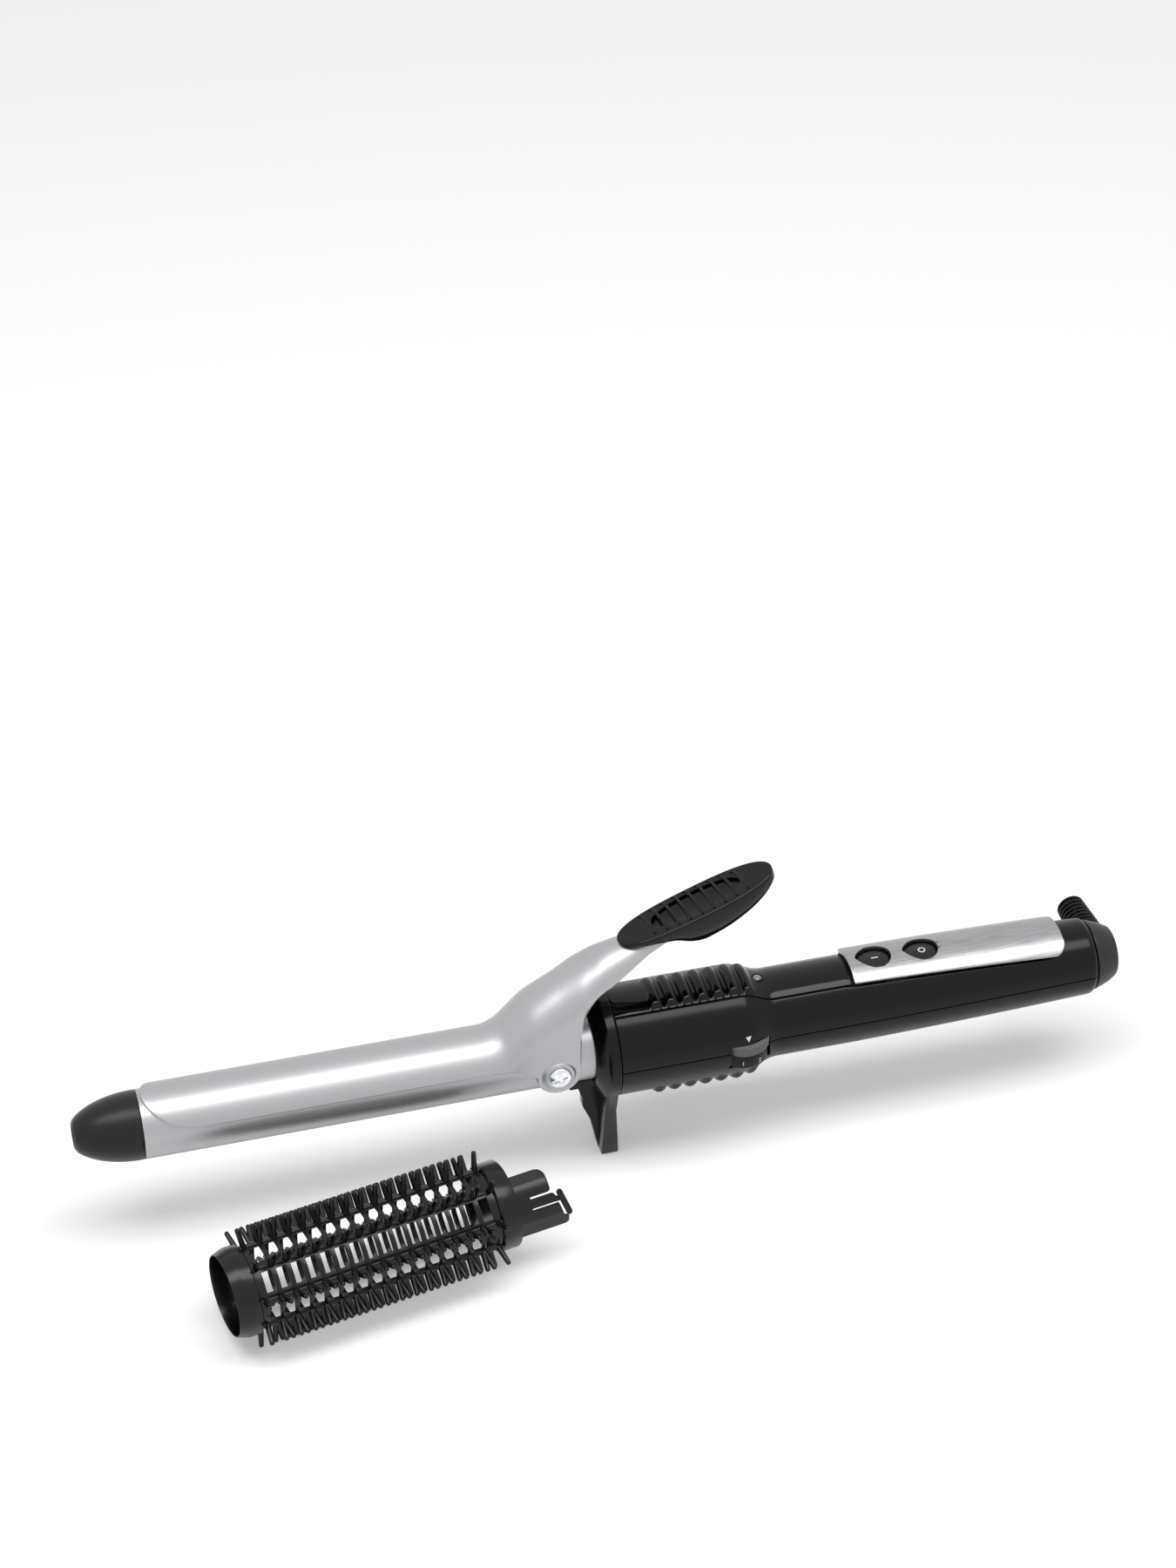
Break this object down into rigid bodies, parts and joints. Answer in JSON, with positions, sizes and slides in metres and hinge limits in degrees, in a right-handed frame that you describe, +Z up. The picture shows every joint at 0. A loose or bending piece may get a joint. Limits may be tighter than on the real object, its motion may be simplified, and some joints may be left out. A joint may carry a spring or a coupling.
{
  "type": "curling tong",
  "caption": "Spring-clamp curling tong with a stand, push buttons, heat dial and swivelling cord outlet, with its slide-on brush sleeve lying beside it.",
  "frame": {"origin": "middle of the stand's flat sole, straight below the barrel's axis", "axes": "+X from the barrel's tip towards the handle, +Z up, +Y away from the side that carries the heat dial"},
  "size_m": [0.2963, 0.0842, 0.0899],
  "materials": {
    "barrel_coating": "satin silver coating with fine sparkle",
    "tip_plastic": "satin charcoal",
    "bare_aluminium": "as extruded",
    "ceramic": "matt",
    "red_wire": "silicone insulation",
    "blue_wire": "silicone insulation",
    "zinc_screw": "bright zinc",
    "spring_steel": "bright",
    "brass_metal": "bright",
    "gloss_black": "high gloss",
    "satin_black": "satin with fine grain",
    "brushed_plate": "brushed lengthwise",
    "board_green": "solder mask",
    "button_grey": "satin charcoal with white marks",
    "dial_black": "satin with grey knurled rim",
    "clear_lens": "clear",
    "boot_rubber": "matt",
    "brush_plastic": "semi-gloss"
  },
  "bodies": {
    "handle": {"barrel_tube": "barrel_coating", "barrel_tip": "tip_plastic", "heater_plate_upper": "bare_aluminium", "heater_plate_lower": "bare_aluminium", "ptc_heater": "ceramic", "thermal_fuse": "ceramic", "heater_lead_live": "red_wire", "heater_lead_neutral": "blue_wire", "pivot_block": "bare_aluminium", "pivot_screw_near": "zinc_screw", "pivot_screw_far": "zinc_screw", "clamp_spring": "spring_steel", "collar_stand": "satin_black", "barrel_bush": "ceramic", "handle_shell_upper": "satin_black", "handle_shell_lower": "satin_black", "top_cover": "gloss_black", "control_plate": "brushed_plate", "case_screw_front": "spring_steel", "case_screw_rear": "spring_steel", "circuit_board": "board_green", "switch_on": "dial_black", "switch_off": "dial_black", "heat_control": "dial_black", "indicator_led": "clear_lens", "contact_spring_live": "brass_metal", "contact_spring_neutral": "brass_metal"},
    "clamp": {"clamp_shell": "barrel_coating", "thumb_pad": "gloss_black"},
    "on_button": {"button_on": "button_grey"},
    "off_button": {"button_off": "button_grey"},
    "dial": {"temperature_dial": "dial_black"},
    "swivel": {"swivel_cap": "tip_plastic", "swivel_core": "brass_metal", "slip_ring_live": "brass_metal", "slip_ring_neutral": "brass_metal", "retaining_clip": "spring_steel", "cord_boot": "boot_rubber"},
    "brush": {"brush_sleeve": "brush_plastic", "bristle_strip_1": "brush_plastic", "bristle_strip_2": "brush_plastic", "bristle_strip_3": "brush_plastic", "bristle_strip_4": "brush_plastic", "bristle_strip_5": "brush_plastic", "bristle_strip_6": "brush_plastic", "bristle_strip_7": "brush_plastic", "bristle_strip_8": "brush_plastic"},
    "latch": {"brush_latch": "brush_plastic"}
  },
  "joints": [
    {"name": "clamp_pivot", "type": "hinge", "parent": "handle", "child": "clamp", "pos_m": [-0.0161, 0, 0.038], "axis": [0, 1, 0], "range_deg": [0, 17], "stiffness_Nm_per_rad": 0.12, "springref_deg": -17.19, "deforming": ["clamp_spring"]},
    {"name": "button_on_press", "type": "slide", "parent": "handle", "child": "on_button", "axis": [0, 0, -1], "range_m": [0, 0.0005], "stiffness_N_per_m": 400},
    {"name": "button_off_press", "type": "slide", "parent": "handle", "child": "off_button", "axis": [0, 0, -1], "range_m": [0, 0.0005], "stiffness_N_per_m": 400},
    {"name": "dial_turn", "type": "hinge", "parent": "handle", "child": "dial", "pos_m": [0.0363, -0.009, 0.038], "axis": [0, 0, 1], "range_deg": [-60, 180]},
    {"name": "cord_swivel", "type": "hinge", "parent": "handle", "child": "swivel", "pos_m": [0.1405, 0, 0.038], "axis": [1, 0, 0], "continuous": true},
    {"name": "brush_lift", "type": "slide", "parent": "handle", "child": "brush", "axis": [0, 0, 1], "range_m": [0, 0.12]},
    {"name": "brush_latch_flex", "type": "hinge", "parent": "brush", "child": "latch", "pos_m": [-0.03189, -0.04115, 0.02223], "axis": [0.0998, -0.528, -0.8434], "range_deg": [0, 8], "stiffness_Nm_per_rad": 0.05}
  ]
}
